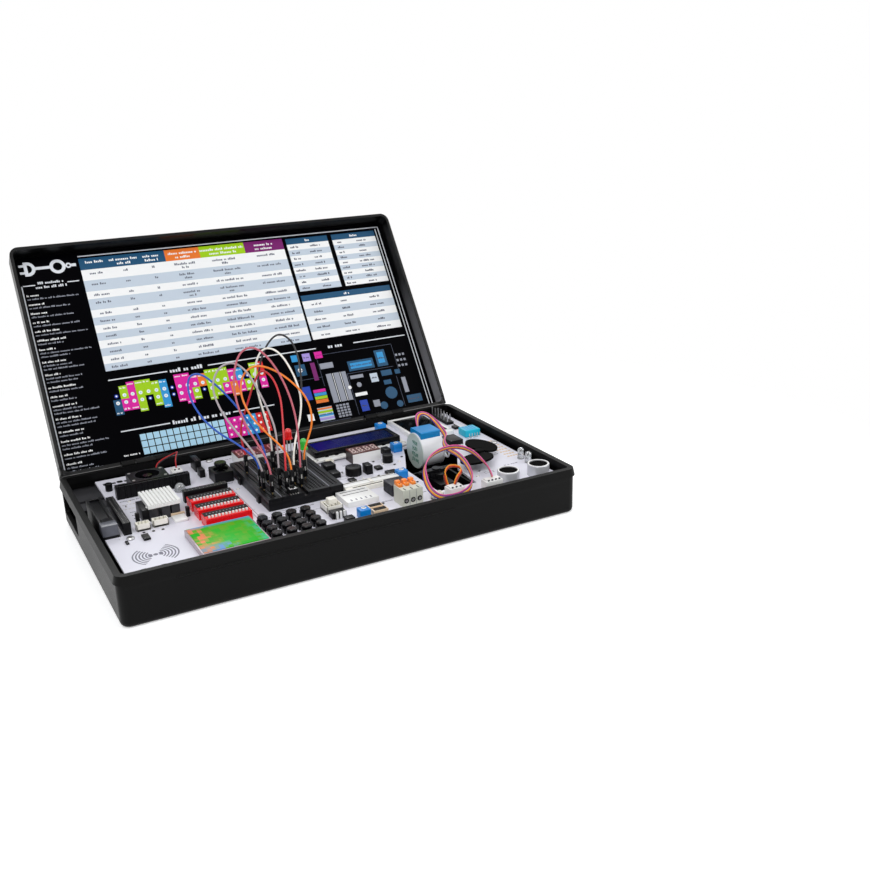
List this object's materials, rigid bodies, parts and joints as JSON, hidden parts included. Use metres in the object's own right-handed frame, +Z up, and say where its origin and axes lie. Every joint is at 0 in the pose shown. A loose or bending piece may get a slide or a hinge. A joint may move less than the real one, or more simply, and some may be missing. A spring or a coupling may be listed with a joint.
{
  "type": "digital logic trainer",
  "caption": "Shallow black case with a hinged printed lid, holding a white electronics teaching board with breadboard, keypad, displays, sensors and motors.",
  "frame": {"origin": "middle of the case's flat underside", "axes": "+X along the front from left to right, +Y from the front to the hinges, +Z up"},
  "size_m": [0.327, 0.3027, 0.1869],
  "materials": {
    "black_shell": "fine satin moulding",
    "print_panel": "printed sheet, slight gloss",
    "steel": "satin",
    "white_board": "white solder mask",
    "computer_green": "green solder mask",
    "black_plastic": "matt",
    "cream_plastic": "nylon",
    "white_plastic": "smooth",
    "red_plastic": "glossy",
    "matrix_cover": "clear cover over coloured light cells",
    "lcd": "blue window in a metal frame",
    "display_face": "tinted epoxy",
    "tft": "polished",
    "relay_grey": "matt",
    "terminal_grey": "smooth",
    "orange_plastic": "smooth",
    "trimmer_blue": "smooth",
    "sensor_cyan": "smooth",
    "clear_dome": "milky",
    "silver_can": "satin",
    "motor_can": "satin zinc",
    "shaft_brass": "satin",
    "cap_blue": "smooth",
    "wire": "soft insulation"
  },
  "bodies": {
    "case": {"case_base": "black_shell", "hinge_pins": "steel", "main_board": "white_board", "board_screws": "steel", "computer_board": "computer_green", "board_headers": "black_plastic", "card_slot": "black_plastic", "cooler_housing": "black_plastic", "heatsink_block": "white_plastic", "cream_sockets": "cream_plastic", "dip_bodies": "red_plastic", "led_matrix": "matrix_cover", "key_switches": "black_plastic", "breadboard": "black_plastic", "joystick_base": "black_plastic", "lcd_module": "lcd", "tft_display": "tft", "segment_displays": "display_face", "relay": "relay_grey", "terminal_block": "terminal_grey", "trimmers": "trimmer_blue", "chips": "black_plastic", "humidity_sensor": "sensor_cyan", "sensor_domes": "clear_dome", "ultrasonic_sensor": "silver_can", "stepper_can": "motor_can", "stepper_cap": "cap_blue", "servo_body": "black_plastic", "fan_motor": "black_plastic", "breadboard_parts": "black_plastic", "jumper_wires": "wire", "motor_cables": "wire"},
    "lid": {"case_lid": "black_shell", "lid_panel": "print_panel"},
    "cooler_wheel": {"cooler_fan": "black_plastic"},
    "levers_front": {"dip_levers_1": "white_plastic"},
    "levers_middle": {"dip_levers_2": "white_plastic"},
    "levers_back": {"dip_levers_3": "white_plastic"},
    "stick_ring": {"joystick_gimbal": "black_plastic"},
    "stick": {"joystick_stick": "black_plastic"},
    "clamp_levers": {"terminal_levers": "orange_plastic"},
    "stepper_output": {"stepper_shaft": "shaft_brass"},
    "horn": {"servo_horn": "white_plastic"},
    "propeller": {"propeller": "black_plastic"},
    "key_01": {"key_cap_01": "black_plastic"},
    "key_02": {"key_cap_02": "black_plastic"},
    "key_03": {"key_cap_03": "black_plastic"},
    "key_04": {"key_cap_04": "black_plastic"},
    "key_05": {"key_cap_05": "black_plastic"},
    "key_06": {"key_cap_06": "black_plastic"},
    "key_07": {"key_cap_07": "black_plastic"},
    "key_08": {"key_cap_08": "black_plastic"},
    "key_09": {"key_cap_09": "black_plastic"},
    "key_10": {"key_cap_10": "black_plastic"},
    "key_11": {"key_cap_11": "black_plastic"},
    "key_12": {"key_cap_12": "black_plastic"},
    "key_13": {"key_cap_13": "black_plastic"},
    "key_14": {"key_cap_14": "black_plastic"},
    "key_15": {"key_cap_15": "black_plastic"},
    "key_16": {"key_cap_16": "black_plastic"}
  },
  "joints": [
    {"name": "lid hinge", "type": "hinge", "parent": "case", "child": "lid", "pos_m": [0, 0.0932, 0.0342], "axis": [1, 0, 0], "range_deg": [0, 124], "deforming": ["jumper_wires", "breadboard_parts", "motor_cables"]},
    {"name": "cooler spin", "type": "hinge", "parent": "case", "child": "cooler_wheel", "pos_m": [-0.1069, 0.0572, 0.032], "axis": [0, 0, 1], "continuous": true},
    {"name": "levers front slide", "type": "slide", "parent": "case", "child": "levers_front", "axis": [0, 1, 0], "range_m": [0, 0.0016]},
    {"name": "levers middle slide", "type": "slide", "parent": "case", "child": "levers_middle", "axis": [0, 1, 0], "range_m": [0, 0.0016]},
    {"name": "levers back slide", "type": "slide", "parent": "case", "child": "levers_back", "axis": [0, 1, 0], "range_m": [0, 0.0016]},
    {"name": "stick side tilt", "type": "hinge", "parent": "case", "child": "stick_ring", "pos_m": [-0.0577, 0.041, 0.0324], "axis": [0, 1, 0], "range_deg": [-20, 20], "stiffness_Nm_per_rad": 0.004},
    {"name": "stick fore tilt", "type": "hinge", "parent": "stick_ring", "child": "stick", "pos_m": [-0.0577, 0.041, 0.0324], "axis": [1, 0, 0], "range_deg": [-20, 20], "stiffness_Nm_per_rad": 0.004},
    {"name": "clamp lever", "type": "hinge", "parent": "case", "child": "clamp_levers", "pos_m": [0.038, -0.067, 0.037], "axis": [1, 0, 0], "range_deg": [0, 35], "stiffness_Nm_per_rad": 0.002},
    {"name": "stepper output", "type": "hinge", "parent": "case", "child": "stepper_output", "pos_m": [0.105, 0.011, 0.0223], "axis": [1, 0, 0], "continuous": true},
    {"name": "servo output", "type": "hinge", "parent": "case", "child": "horn", "pos_m": [0.0775, -0.0385, 0.033], "axis": [0, 0, 1], "range_deg": [-90, 90]},
    {"name": "propeller spin", "type": "hinge", "parent": "case", "child": "propeller", "pos_m": [0.1195, -0.029, 0.034], "axis": [0, 0, 1], "continuous": true},
    {"name": "key 01 press", "type": "slide", "parent": "case", "child": "key_01", "axis": [0, 0, -1], "range_m": [0, 0.0005], "stiffness_N_per_m": 1500},
    {"name": "key 02 press", "type": "slide", "parent": "case", "child": "key_02", "axis": [0, 0, -1], "range_m": [0, 0.0005], "stiffness_N_per_m": 1500},
    {"name": "key 03 press", "type": "slide", "parent": "case", "child": "key_03", "axis": [0, 0, -1], "range_m": [0, 0.0005], "stiffness_N_per_m": 1500},
    {"name": "key 04 press", "type": "slide", "parent": "case", "child": "key_04", "axis": [0, 0, -1], "range_m": [0, 0.0005], "stiffness_N_per_m": 1500},
    {"name": "key 05 press", "type": "slide", "parent": "case", "child": "key_05", "axis": [0, 0, -1], "range_m": [0, 0.0005], "stiffness_N_per_m": 1500},
    {"name": "key 06 press", "type": "slide", "parent": "case", "child": "key_06", "axis": [0, 0, -1], "range_m": [0, 0.0005], "stiffness_N_per_m": 1500},
    {"name": "key 07 press", "type": "slide", "parent": "case", "child": "key_07", "axis": [0, 0, -1], "range_m": [0, 0.0005], "stiffness_N_per_m": 1500},
    {"name": "key 08 press", "type": "slide", "parent": "case", "child": "key_08", "axis": [0, 0, -1], "range_m": [0, 0.0005], "stiffness_N_per_m": 1500},
    {"name": "key 09 press", "type": "slide", "parent": "case", "child": "key_09", "axis": [0, 0, -1], "range_m": [0, 0.0005], "stiffness_N_per_m": 1500},
    {"name": "key 10 press", "type": "slide", "parent": "case", "child": "key_10", "axis": [0, 0, -1], "range_m": [0, 0.0005], "stiffness_N_per_m": 1500},
    {"name": "key 11 press", "type": "slide", "parent": "case", "child": "key_11", "axis": [0, 0, -1], "range_m": [0, 0.0005], "stiffness_N_per_m": 1500},
    {"name": "key 12 press", "type": "slide", "parent": "case", "child": "key_12", "axis": [0, 0, -1], "range_m": [0, 0.0005], "stiffness_N_per_m": 1500},
    {"name": "key 13 press", "type": "slide", "parent": "case", "child": "key_13", "axis": [0, 0, -1], "range_m": [0, 0.0005], "stiffness_N_per_m": 1500},
    {"name": "key 14 press", "type": "slide", "parent": "case", "child": "key_14", "axis": [0, 0, -1], "range_m": [0, 0.0005], "stiffness_N_per_m": 1500},
    {"name": "key 15 press", "type": "slide", "parent": "case", "child": "key_15", "axis": [0, 0, -1], "range_m": [0, 0.0005], "stiffness_N_per_m": 1500},
    {"name": "key 16 press", "type": "slide", "parent": "case", "child": "key_16", "axis": [0, 0, -1], "range_m": [0, 0.0005], "stiffness_N_per_m": 1500}
  ]
}
